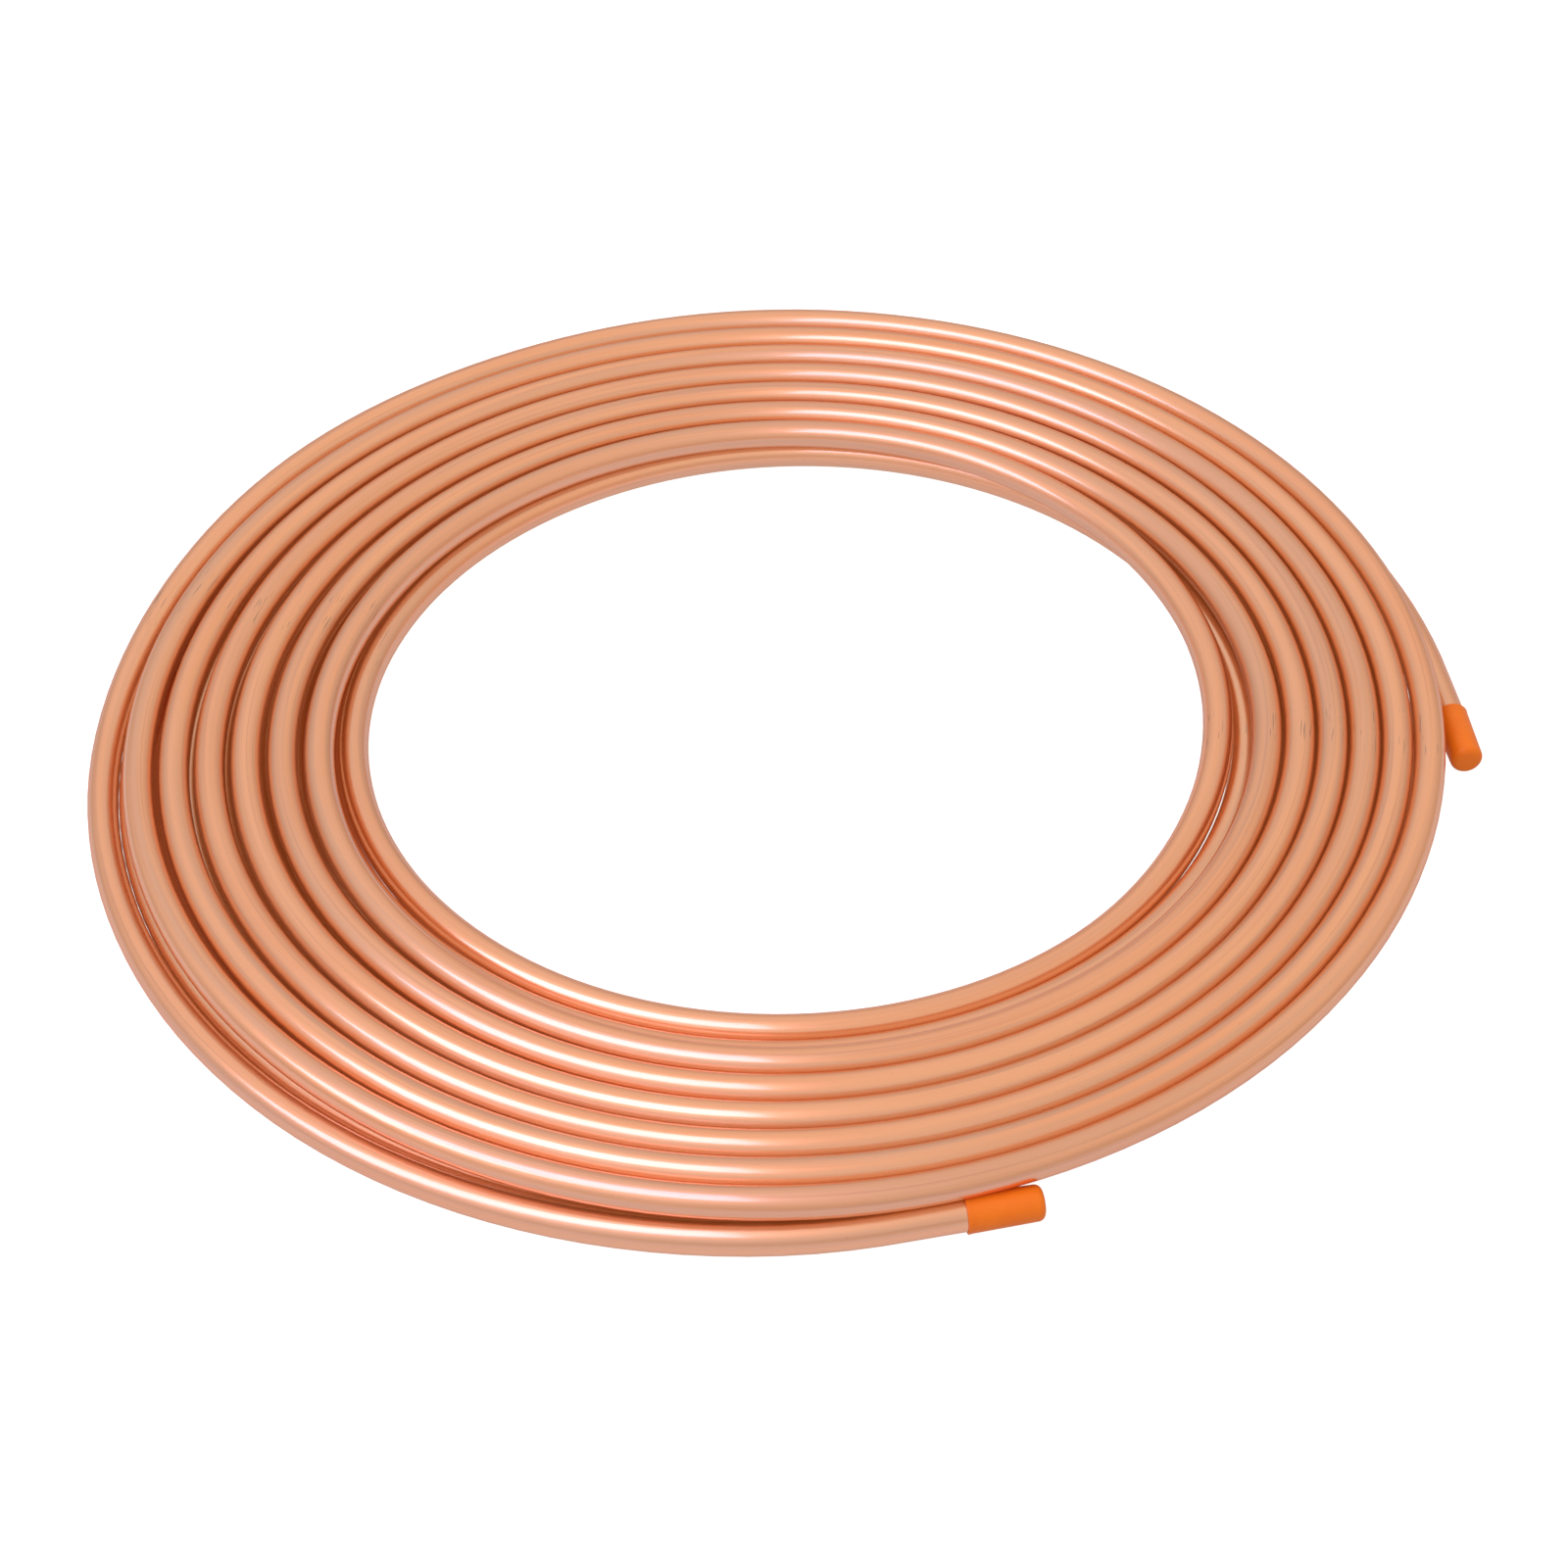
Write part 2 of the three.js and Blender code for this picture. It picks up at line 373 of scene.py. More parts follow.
# ---- Finishes -----------------------------------------------------------------------------------
@dataclass(frozen=True)
class DrawnCopper:
    """Bright drawn copper with fine lines along the tube."""

    base: tuple = (0.98, 0.43, 0.20, 1.0)
    warm: tuple = (0.96, 0.38, 0.155, 1.0)
    tarnish: tuple = (0.50, 0.17, 0.09, 1.0)
    dull: tuple = (0.74, 0.37, 0.22, 1.0)
    # The colour of the dark reflections painted across the turns.
    painted_dark_reflection: tuple = (0.22, 0.12, 0.08, 1.0)
    # Patterns: how fine along the tube and round it, their finer layers and how strong those are.
    fine_lines: tuple = (6.0, 900.0, 3.0, 0.6)
    broad_lines: tuple = (2.5, 260.0, 2.0, 0.5)
    drift: tuple = (9.0, 60.0, 2.0, 0.5)
    dashes: tuple = (110.0, 2000.0, 0.0, 0.5)
    # Scuffs and specks: how fine they are, and their fineness along the tube as a share of it.
    marks_scale: float = 120.0
    marks_stretch: float = 0.35
    # Where each pattern starts to show and where it is full.
    warm_shows: tuple = (0.35, 0.7)
    bands_show: tuple = (0.42, 0.66)
    lines_show: tuple = (0.50, 0.74)
    dashes_show: tuple = (0.71, 0.77)
    finish_shows: tuple = (0.3, 0.75)
    # How much of each shows.
    band_depth: float = 0.65
    line_depth: float = 0.36
    speck_depth: float = 0.12
    dash_depth: float = 0.7
    # Where short dark reflections are painted across the turns: an azimuth in degrees round the coil
    # and its spread.
    dark_reflection_zones: tuple = ((-9.5, 4.0), (164.0, 5.0))
    # The share of that spread where the painted dark reflections are as dense as they get.
    dark_reflection_core: float = 0.4
    # Gaps between turns: how far they are looked for, in metres, and the paler copper colour painted in
    # them, which stands for light the turns bounce into them.
    gap_reach: float = 0.007
    gap_samples: int = 2
    painted_gap_light: tuple = (0.88, 0.50, 0.28, 1.0)
    # A painted glow there, which stands for the light that the turns pass on to each other.
    painted_gap_glow: tuple = (0.85, 0.30, 0.07, 1.0)
    painted_gap_glow_strength: float = 0.062
    # Tint of what the copper mirrors where the surface turns away.
    edge_tint: tuple = (0.80, 0.55, 0.45, 1.0)
    # Roughness where the drawing left the surface smooth and rough, and what scuffs add.
    smooth: float = 0.28
    rough: float = 0.40
    scuff_roughness: float = 0.05
    # The drawing lines spread light round the tube more than along it, a quarter turn off its run.
    line_spread: float = 0.6
    line_turn: float = 0.25
    # The bright film of gloss, which is weaker where the surface turns away.
    film: float = 1.0
    film_edge: float = 0.15
    film_fades: tuple = (0.60, 0.94)
    film_roughness: float = 0.11
    film_ior: float = 2.3
    # Relief: how strong, how deep in metres, and the broad lines' share of it.
    relief: float = 0.24
    relief_depth: float = 0.00025
    broad_relief: float = 0.8

    def material(self, groups: SurfaceGroups) -> bpy.types.Material:
        """Build the copper material.

        Args:
            groups: The shared effects.

        Returns:
            The material.
        """
        material, net, shader = new_material("drawn_copper")
        sockets = shader.inputs
        straight = net.add("ShaderNodeAttribute", attribute_name="straight_tube").outputs["Vector"]
        lines = self._pattern(net, straight, self.fine_lines)
        broad = self._pattern(net, straight, self.broad_lines)
        marked = net.scaled(straight, self.marks_stretch, 1.0, 1.0)
        scuffs, specks = groups.place_marks(net, marked, self.marks_scale)
        colour = self._drawn_colour(net, straight, lines, broad)
        colour = net.blend(net.maths("MULTIPLY", specks, self.speck_depth), colour, self.tarnish)
        # Painted reflection: short dark dashes across the turns at two places round the coil.
        colour = net.blend(self._painted_dark_reflections(net, straight), colour, self.painted_dark_reflection)
        # Painted light: the copper in the gaps between turns takes a paler colour, for light bounced
        # into them.
        closed = self._painted_gap_mask(net)
        net.link(net.blend(closed, colour, self.painted_gap_light), sockets["Base Color"])
        sockets["Metallic"].default_value = 1.0
        # Painted light: the copper glows in the gaps, for the light that the turns pass on to each
        # other.
        gap_glow = net.maths("MULTIPLY", net.maths("POWER", closed, 2.0), self.painted_gap_glow_strength)
        sockets["Emission Color"].default_value = self.painted_gap_glow
        net.link(gap_glow, sockets["Emission Strength"])
        way = net.add("ShaderNodeAttribute", attribute_name="tube_direction").outputs["Vector"]
        net.link(way, sockets["Tangent"])
        sockets["Anisotropic"].default_value = self.line_spread
        sockets["Anisotropic Rotation"].default_value = self.line_turn
        sockets["Specular Tint"].default_value = self.edge_tint
        facing = net.add("ShaderNodeLayerWeight").outputs["Facing"]
        film = net.ramp(facing, *self.film_fades, self.film, self.film * self.film_edge)
        net.link(film, sockets["Coat Weight"])
        sockets["Coat Roughness"].default_value = self.film_roughness
        sockets["Coat IOR"].default_value = self.film_ior
        finish = net.ramp(broad, *self.finish_shows, self.smooth, self.rough)
        finish = net.maths("MULTIPLY_ADD", scuffs, self.scuff_roughness, finish)
        net.link(finish, sockets["Roughness"])
        height = net.maths("MULTIPLY_ADD", broad, self.broad_relief, lines)
        net.link(net.bump(height, self.relief, self.relief_depth), sockets["Normal"])
        return material

    @staticmethod
    def _pattern(net: NodeNet, straight: Socket, pattern: tuple) -> Socket:
        """Lay a noise pattern on the straightened tube.

        Args:
            net: The material's node net.
            straight: The place on the straightened tube.
            pattern: How fine it is along and round the tube, its finer layers and their strength.

        Returns:
            The output of the pattern.
        """
        along, around, layers, strength = pattern
        return net.noise(net.scaled(straight, along, around, around), 1.0, layers, strength)

    def _drawn_colour(
        self, net: NodeNet, straight: Socket, lines: Socket, broad: Socket
    ) -> Socket:
        """Colour the copper with the lines and bands left by the drawing die.

        Args:
            net: The material's node net.
            straight: The place on the straightened tube.
            lines: The pattern of fine lines.
            broad: The pattern of broad lines.

        Returns:
            The output of the colour.
        """
        warmth = net.ramp(self._pattern(net, straight, self.drift), *self.warm_shows)
        colour = net.blend(warmth, self.base, self.warm)
        bands = net.maths("MULTIPLY", net.ramp(broad, *self.bands_show), self.band_depth)
        colour = net.blend(bands, colour, self.dull)
        faint = net.maths("MULTIPLY", net.ramp(lines, *self.lines_show), self.line_depth)
        return net.blend(faint, colour, self.tarnish)

    def _painted_gap_mask(self, net: NodeNet) -> Socket:
        """Mask the copper that lies in a gap between turns, where bounced light is painted on it.

        Args:
            net: The material's node net.

        Returns:
            The output of the mask, 1 where the gap is closed in all round.
        """
        openness = net.add("ShaderNodeAmbientOcclusion", samples=self.gap_samples)
        openness.inputs["Distance"].default_value = self.gap_reach
        return net.maths("SUBTRACT", 1.0, openness.outputs["AO"], clamp=True)

    def _painted_dark_reflections(self, net: NodeNet, straight: Socket) -> Socket:
        """Mask the short dark dashes that are painted across the turns, as dark reflections, at two
        places round the coil.

        Args:
            net: The material's node net.
            straight: The place on the straightened tube.

        Returns:
            The output of the mask, 1 in a dash.
        """
        place = net.add("ShaderNodeTexCoord").outputs["Object"]
        parts = net.add("ShaderNodeSeparateXYZ")
        net.link(place, parts.inputs[0])
        across = net.maths("SUBTRACT", parts.outputs["X"], COIL_AXIS[0] * MM)
        back = net.maths("SUBTRACT", parts.outputs["Y"], COIL_AXIS[1] * MM)
        azimuth = net.maths("ARCTAN2", back, across)
        dark_reflection_zones = 0.0
        for middle, spread in self.dark_reflection_zones:
            off = net.maths("ABSOLUTE", net.maths("SUBTRACT", azimuth, math.radians(middle)))
            reach = math.radians(spread)
            near = net.ramp(off, reach, reach * self.dark_reflection_core)
            dark_reflection_zones = net.maths("MAXIMUM", near, dark_reflection_zones)
        dashes = self._pattern(net, straight, self.dashes)
        deep = net.maths("MULTIPLY", net.ramp(dashes, *self.dashes_show), self.dash_depth)
        return net.maths("MULTIPLY", deep, dark_reflection_zones)


@dataclass(frozen=True)
class CapPlastic:
    """Soft orange moulded plastic with a satin skin."""

    base: tuple = (0.97, 0.22, 0.008, 1.0)
    shaded: tuple = (0.86, 0.155, 0.006, 1.0)
    speck: tuple = (0.95, 0.42, 0.16, 1.0)
    roughness: float = 0.42
    scuff_roughness: float = 0.16
    sheen_level: float = 0.32
    marks_scale: float = 240.0
    # Patterns: how fine they are, their finer layers and how strong those are.
    mottle: tuple = (170.0, 3.0, 0.55)
    grain: tuple = (1500.0, 2.0, 0.5)
    # Where the mottle starts to show and where it is full.
    mottle_shows: tuple = (0.35, 0.8)
    mottle_depth: float = 0.35
    speck_depth: float = 0.12
    # Relief: how strong, how deep in metres, and the mottle's share of it.
    relief: float = 0.22
    relief_depth: float = 0.0003
    mottle_relief: float = 1.4

    def material(self, groups: SurfaceGroups) -> bpy.types.Material:
        """Build the cap plastic.

        Args:
            groups: The shared effects.

        Returns:
            The material.
        """
        material, net, shader = new_material("orange_plastic")
        place = net.add("ShaderNodeTexCoord").outputs["Object"]
        scuffs, specks = groups.place_marks(net, place, self.marks_scale)
        mottle = net.noise(place, *self.mottle)
        mottled = net.ramp(mottle, *self.mottle_shows, 0.0, self.mottle_depth)
        colour = net.blend(mottled, self.base, self.shaded)
        colour = net.blend(net.maths("MULTIPLY", specks, self.speck_depth), colour, self.speck)
        net.link(colour, shader.inputs["Base Color"])
        finish = net.maths("MULTIPLY_ADD", scuffs, self.scuff_roughness, self.roughness)
        net.link(finish, shader.inputs["Roughness"])
        shader.inputs["Specular IOR Level"].default_value = self.sheen_level
        grain = net.noise(place, *self.grain)
        height = net.maths("MULTIPLY_ADD", mottle, self.mottle_relief, grain)
        net.link(net.bump(height, self.relief, self.relief_depth), shader.inputs["Normal"])
        return material


# ---- The winding --------------------------------------------------------------------------------
@dataclass(frozen=True)
class Winding:
    """The route of the tube's centre line.

    Turns are counted clockwise from the front of the coil, seen from above. Sizes are millimetres
    from the coil's axis.
    """

    diameter: float = 9.525
    # Upper layer, wound inwards.
    start_turn: float = -0.024
    middle_turn: float = 3.5
    middle_radius: float = 176.69
    upper_pitch: float = 10.75
    pitch_growth: float = 0.05
    pitch_drift: tuple = (0.54, -0.81)
    upper_shift: tuple = (0.55, -3.64)
    upper_ovality: float = 1.25
    upper_oval_angle: float = 91.7
    front_pull: float = 6.4
    front_pull_turns: tuple = (-0.06, 0.19)
    # Where a turn stands off or hugs its neighbour: turn, reach in turns, amount.
    swells: tuple = (
        (0.235, 0.05, 1.4),
        (0.415, 0.06, -1.7),
        (4.60, 0.08, -0.6),
        (5.62, 0.10, -1.1),
    )
    # Towards the front right the outer turns press inwards and the inner ones outwards.
    press_angle: float = 315.0
    press_narrowness: int = 4
    press_amounts: tuple = (-0.295, 0.247, 0.05)
    climb_turns: tuple = (0.24, 0.42)
    # Change of layer, inside the eye.
    change_turns: tuple = (6.46, 6.57)
    change_radius: float = 139.3
    floor_turns: tuple = (6.71, 6.88)
    # Lower layer, wound outwards round its own first turn, which lies inside the upper layer.
    lower_start_turn: float = 6.77
    lower_start_radius: float = 133.6
    lower_pitch: float = 9.62
    lower_growth: float = 5.8
    lower_settling: float = 0.07
    lower_shift: float = 4.0
    lower_shift_angle: float = 0.0
    lower_ovality: float = 0.65
    lower_oval_angle: float = -19.5
    open_turn: float = 12.95
    open_out: float = 5.05
    open_power: float = 1.5
    # Its last turn, this many turns on, lies beside the outer turn as far as that one is on the floor.
    beside_turns: int = 13
    beside_from: tuple = (12.90, 13.0)
    beside_until: tuple = (13.27, 13.42)
    beside_gap: float = 0.1
    end_turn: float = 13.745
    # Free ends.
    front_straight: float = 33.4
    side_straight: float = 37.6
    end_lift: float = 1.13
    end_lift_length: float = 70.0
    # Fineness, and how far the tube's stiffness spreads a rise.
    steps_per_turn: int = 150
    straight_steps: int = 8
    stiffness_turns: float = 0.035

    def upper_radius(self, turn: np.ndarray) -> np.ndarray:
        """Give the radius of the upper layer at each turn count.

        Args:
            turn: The turn counts.

        Returns:
            The radius at each.
        """
        azimuth = self.azimuth(turn)
        inward = turn - self.middle_turn
        radius = self.middle_radius - self.upper_pitch * inward - self.pitch_growth * inward**2
        across = self.upper_shift[0] + self.pitch_drift[0] * inward
        back = self.upper_shift[1] + self.pitch_drift[1] * inward
        radius += across * np.cos(azimuth) + back * np.sin(azimuth)
        oval = np.cos(2.0 * (azimuth - math.radians(self.upper_oval_angle)))
        radius += self.upper_ovality * oval
        free = 1.0 - smoothstep(self._share(turn, self.front_pull_turns))
        radius -= self.front_pull * free
        pressed = np.clip(np.cos(azimuth - math.radians(self.press_angle)), 0.0, 1.0)
        pressed = pressed**self.press_narrowness
        steady, rising, growing = self.press_amounts
        radius += pressed * (steady + rising * inward + growing * inward**2)
        for place, reach, amount in self.swells:
            radius += amount * np.exp(-(((turn - place) / reach) ** 2))
        return radius

    def lower_radius(self, turn: np.ndarray) -> np.ndarray:
        """Give the radius of the lower layer at each turn count.

        Its first turn lies off the coil's middle, and the turns round it settle towards the middle.

        Args:
            turn: The turn counts.

        Returns:
            The radius at each.
        """
        wound = turn - self.lower_start_turn
        settled = self.lower_settling * wound
        azimuth = self.azimuth(turn)
        shape = self.lower_shift * np.cos(azimuth - math.radians(self.lower_shift_angle))
        shape += self.lower_ovality * np.cos(2.0 * (azimuth - math.radians(self.lower_oval_angle)))
        radius = self.lower_start_radius + self.lower_pitch * wound
        radius += self.lower_growth * settled + shape * (1.0 - settled)
        opening = np.clip((turn - self.open_turn) / (self.end_turn - self.open_turn), 0.0, 1.0)
        radius += self.open_out * opening**self.open_power
        beside = self.upper_radius(turn - self.beside_turns) - self.diameter - self.beside_gap
        near = smoothstep(self._share(turn, self.beside_from))
        near = near * (1.0 - smoothstep(self._share(turn, self.beside_until)))
        return radius + near * (beside - radius)

    @staticmethod
    def azimuth(turn: np.ndarray) -> np.ndarray:
        """Give the angle round the axis, in radians, at each turn count."""
        return FRONT_ANGLE - 2.0 * math.pi * turn

    def radius(self, turn: np.ndarray) -> np.ndarray:
        """Give the radius along the whole tube, blended where the layers change.

        Args:
            turn: The turn counts.

        Returns:
            The radius at each.
        """
        leave = smoothstep(self._share(turn, self.change_turns))
        settle = smoothstep(self._share(turn, self.floor_turns))
        radius = self.upper_radius(turn) * (1.0 - leave) + self.change_radius * leave
        return radius * (1.0 - settle) + self.lower_radius(turn) * settle

    @staticmethod
    def _share(turn: np.ndarray, span: tuple) -> np.ndarray:
        """Give how far each turn count is through a span of turns."""
        return (turn - span[0]) / (span[1] - span[0])

    def heights(self, turn: np.ndarray, radius: np.ndarray) -> np.ndarray:
        """Rest each point of the upper layer on the turns under it.

        Args:
            turn: The turn counts.
            radius: The radius at each.

        Returns:
            The centre line's height at each.
        """
        floor = self.diameter / 2.0
        rested = np.zeros_like(turn)
        for back in range(1, self.beside_turns + 1):
            below = turn + back
            carried = (below > self.floor_turns[1]) & (below <= self.end_turn)
            carried &= turn < self.floor_turns[1]
            gap = np.abs(self.lower_radius(below) - radius)
            needed = np.sqrt(np.clip(self.diameter**2 - gap**2, 0.0, None))
            rested = np.maximum(rested, np.where(carried, needed, 0.0))
        # Between its climb and its way down, the tube bridges the turns under it from crest to crest.
        climbed = self.diameter * smoothstep(self._share(turn, self.climb_turns))
        bridging = turn < self.change_turns[1]
        lift = np.maximum(rested, np.where(bridging, climbed, 0.0))
        reach = int(self.stiffness_turns * self.steps_per_turn)
        padded = np.pad(lift, reach, mode="edge")
        window = np.lib.stride_tricks.sliding_window_view(padded, 2 * reach + 1)
        stiff = window.max(axis=1)
        kernel = np.hanning(2 * reach + 3)[1:-1]
        kernel /= kernel.sum()
        smooth = np.convolve(np.pad(stiff, reach, mode="edge"), kernel, mode="valid")
        return floor + smooth

    def route(self) -> np.ndarray:
        """Lay out the centre line from the front end to the side end.

        Returns:
            Points in millimetres, in the part's frame.
        """
        count = int((self.end_turn - self.start_turn) * self.steps_per_turn) + 1
        turn = np.linspace(self.start_turn, self.end_turn, count)
        radius = self.radius(turn)
        height = self.heights(turn, radius)
        azimuth = self.azimuth(turn)
        wound = np.stack([radius * np.cos(azimuth), radius * np.sin(azimuth), height], axis=1)
        front = self._straight(wound[0], wound[0] - wound[1], self.front_straight)[::-1]
        side = self._straight(wound[-1], wound[-1] - wound[-2], self.side_straight)
        points = np.concatenate([front, wound, side])
        along = self.along(points)
        for distance in (along, along[-1] - along):
            points[:, 2] += self.end_lift * smoothstep(1.0 - distance / self.end_lift_length)
        return points + np.array([COIL_AXIS[0], COIL_AXIS[1], 0.0])

    def _straight(self, start: np.ndarray, direction: np.ndarray, length: float) -> np.ndarray:
        """Give points of a level straight run that leaves a point.

        Args:
            start: The point that it leaves.
            direction: Which way it goes, whose height is not used.
            length: How far it goes.

        Returns:
            Its points without the first one.
        """
        level = np.array([direction[0], direction[1], 0.0])
        level /= np.linalg.norm(level)
        steps = np.linspace(0.0, length, self.straight_steps + 1)[1:]
        return start + steps[:, None] * level

    @staticmethod
    def along(points: np.ndarray) -> np.ndarray:
        """Give the distance along the route at each of its points.

        Args:
            points: The route.

        Returns:
            The distance from its start at each.
        """
        steps = np.linalg.norm(np.diff(points, axis=0), axis=1)
        return np.concatenate([[0.0], np.cumsum(steps)])


@dataclass
class TubeCoil:
    """The wound tube, from one open end to the other."""

    winding: Winding = field(default_factory=Winding)
    wall: float = 0.81
    bore_depth: float = 12.0
    sides: int = 24
    # A swept curve has at least this many sides, and each step of its bevel adds two.
    fewest_sides: int = 4
    # How near an end its open edges are, in tube diameters.
    end_reach: float = 0.6
    smooth_angle: float = 50.0

    def build(self) -> bpy.types.Object:
        """Sweep the tube along its route and finish both ends.

        Returns:
            The tube's object.
        """
        points = self.winding.route()
        curve = bpy.data.curves.new("coil_tube", "CURVE")
        curve.dimensions = "3D"
        curve.twist_mode = "Z_UP"
        curve.bevel_depth = self.winding.diameter / 2.0 * MM
        curve.bevel_resolution = (self.sides - self.fewest_sides) // 2
        curve.use_fill_caps = False
        spline = curve.splines.new("POLY")
        spline.points.add(len(points) - 1)
        packed = np.ones((len(points), 4))
        packed[:, :3] = points * MM
        spline.points.foreach_set("co", packed.ravel())
        piece = bpy.data.objects.new("coil_tube", curve)
        bpy.context.scene.collection.objects.link(piece)
        make_active(piece)
        bpy.ops.object.convert(target="MESH")
        piece = bpy.context.object
        self._note_straight_tube(piece, points)
        self._finish_ends(piece, points)
        bpy.ops.object.shade_smooth_by_angle(angle=math.radians(self.smooth_angle))
        return piece

    def _note_straight_tube(self, piece: bpy.types.Object, points: np.ndarray) -> None:
        """Store where each vertex would be if the tube were straight, and which way the tube runs.

        Args:
            piece: The tube's object.
            points: The route, in millimetres.
        """
        mesh = piece.data
        count = len(mesh.vertices)
        around = count // len(points)
        LOG.info("tube rings of %d vertices, %d left over", around, count % len(points))
        index = np.arange(count)
        ring = np.minimum(index // around, len(points) - 1)
        radius = self.winding.diameter / 2.0 * MM
        angle = 2.0 * math.pi * (index % around) / around
        place = np.zeros((count, 3))
        place[:, 0] = self.winding.along(points)[ring] * MM
        place[:, 1] = radius * np.cos(angle)
        place[:, 2] = radius * np.sin(angle)
        steps = np.gradient(points, axis=0)
        steps /= np.linalg.norm(steps, axis=1)[:, None]
        for name, vectors in (("straight_tube", place), ("tube_direction", steps[ring])):
            noted = mesh.attributes.new(name, "FLOAT_VECTOR", "POINT")
            noted.data.foreach_set("vector", vectors.ravel())

    def _finish_ends(self, piece: bpy.types.Object, points: np.ndarray) -> None:
        """Cut each end square, with the wall's thickness and a bore.

        Args:
            piece: The tube's object.
            points: The route, in millimetres.
        """
        near = self.end_reach * self.winding.diameter * MM
        for end, inner in ((points[0], points[1]), (points[-1], points[-2])):
            middle = Vector(end * MM)
            outward = Vector((end - inner) * MM).normalized()
            make_active(piece)
            bpy.ops.object.mode_set(mode="EDIT")
            found = select_parts(
                piece,
                Part.EDGE,
                lambda edge: edge.is_boundary
                and all((v.co - middle).length < near for v in edge.verts),
            )
            LOG.info("open edges at an end: %d", found)
            bpy.ops.mesh.fill()
            bpy.ops.mesh.select_mode(type="FACE")
            bpy.ops.mesh.dissolve_faces()
            bpy.ops.mesh.inset(thickness=self.wall * MM)
            depth = outward * (-self.bore_depth * MM)
            bpy.ops.mesh.extrude_region_move(TRANSFORM_OT_translate={"value": depth})
            bpy.ops.object.mode_set(mode="OBJECT")

    def dress(self, piece: bpy.types.Object, groups: SurfaceGroups) -> None:
        """Give the tube its finish.

        Args:
            piece: The tube's object.
            groups: The shared effects.
        """
        piece.data.materials.append(DrawnCopper().material(groups))


# ---- The end caps -------------------------------------------------------------------------------
@dataclass
class EndCap:
    """A push-on cap: a thin cup with a rounded closed end and a slightly flared mouth."""

    end: End
    length: float = 21.5
    mouth_radius: float = 5.45
    taper: float = 0.48
    bore_radius: float = 4.86
    end_wall: float = 2.2
    edge_round: float = 2.0
    edge_steps: int = 6
    lip_length: float = 1.1
    lip_flare: float = 0.12
    lip_round: float = 0.12
    lip_steps: int = 2
    # How far the tube's end stays off the end wall.
    end_gap: float = 0.3
    sides: int = 64
    smooth_angle: float = 35.0
    # A face looks straight up or down where its normal leans less than this allows.
    squareness: float = 0.9

    def build(self, points: np.ndarray) -> bpy.types.Object:
        """Model the cap and push it on its end of the tube.

        Args:
            points: The tube's route, in millimetres.

        Returns:
            The cap's object.
        """
        deselect_all()
        bpy.ops.mesh.primitive_cylinder_add(
            vertices=self.sides,
            radius=self.mouth_radius * MM,
            depth=self.length * MM,
            end_fill_type="NGON",
            location=(0.0, 0.0, self.length / 2.0 * MM),
        )
        piece = bpy.context.object
        piece.name = f"{self.end.value}_shell"
        bpy.ops.object.transform_apply(location=True)
        self._shape(piece)
        bpy.ops.object.shade_smooth_by_angle(angle=math.radians(self.smooth_angle))
        self._push_on(piece, points)
        return piece

    def _shape(self, piece: bpy.types.Object) -> None:
        """Taper the cap, round its closed end, flare its mouth and hollow it.

        Args:
            piece: The plain cylinder that the cap is made from, mouth down.
        """
        top = self.length * MM
        make_active(piece)
        bpy.ops.object.mode_set(mode="EDIT")
        select_parts(piece, Part.FACE, lambda face: face.normal.z > self.squareness)
        shrink = 1.0 - self.taper / self.mouth_radius
        bpy.ops.transform.resize(value=(shrink, shrink, 1.0))
        # A ring a little above the mouth keeps the flare short.
        for height in (self.lip_length, self.length / 2.0):
            bpy.ops.mesh.select_all(action="SELECT")
            bpy.ops.mesh.bisect(
                plane_co=(0.0, 0.0, height * MM), plane_no=(0.0, 0.0, 1.0), use_fill=False
            )
        select_parts(piece, Part.FACE, lambda face: face.normal.z < -self.squareness)
        flare = 1.0 + self.lip_flare / self.mouth_radius
        bpy.ops.transform.resize(value=(flare, flare, 1.0))
        select_parts(
            piece, Part.EDGE, lambda edge: all(v.co.z > top - TOUCHING for v in edge.verts)
        )
        bpy.ops.mesh.bevel(offset=self.edge_round * MM, segments=self.edge_steps, profile=0.5)
        # The hollow: an inset mouth pushed up to the end wall.
        select_parts(
            piece,
            Part.FACE,
            lambda face: face.normal.z < -self.squareness and len(face.verts) == self.sides,
        )
        wall = self.mouth_radius + self.lip_flare - self.bore_radius
        bpy.ops.mesh.inset(thickness=wall * MM)
        depth = (0.0, 0.0, (self.length - self.end_wall) * MM)
        bpy.ops.mesh.extrude_region_move(TRANSFORM_OT_translate={"value": depth})
        select_parts(
            piece,
            Part.EDGE,
            lambda edge: all(abs(v.co.z) < TOUCHING for v in edge.verts) and not edge.is_boundary,
        )
        bpy.ops.mesh.bevel(offset=self.lip_round * MM, segments=self.lip_steps, profile=0.5)
        bpy.ops.mesh.select_all(action="SELECT")
        bpy.ops.mesh.remove_doubles(threshold=TOUCHING)
        bpy.ops.mesh.normals_make_consistent(inside=False)
        bpy.ops.object.mode_set(mode="OBJECT")

    def _push_on(self, piece: bpy.types.Object, points: np.ndarray) -> None:
        """Set the cap on its end of the tube, with its place in its mesh.

        Args:
            piece: The cap's object, mouth down at the origin.
            points: The tube's route, in millimetres.
        """
        outwards = points if self.end is End.SIDE else points[::-1]
        tip, inner = outwards[-1], outwards[-4]
        outward = Vector((tip - inner) * MM).normalized()
        reach = (self.length - self.end_wall - self.end_gap) * MM
        mouth = Vector(tip * MM) - outward * reach
        turn = Vector((0.0, 0.0, 1.0)).rotation_difference(outward).to_matrix().to_4x4()
        piece.matrix_world = Matrix.Translation(mouth) @ turn
        make_active(piece)
        bpy.ops.object.transform_apply(location=True, rotation=True, scale=True)

    def dress(self, piece: bpy.types.Object, material: bpy.types.Material) -> None:
        """Give the cap its finish.

        Args:
            piece: The cap's object.
            material: The cap plastic.
        """
        piece.data.materials.append(material)


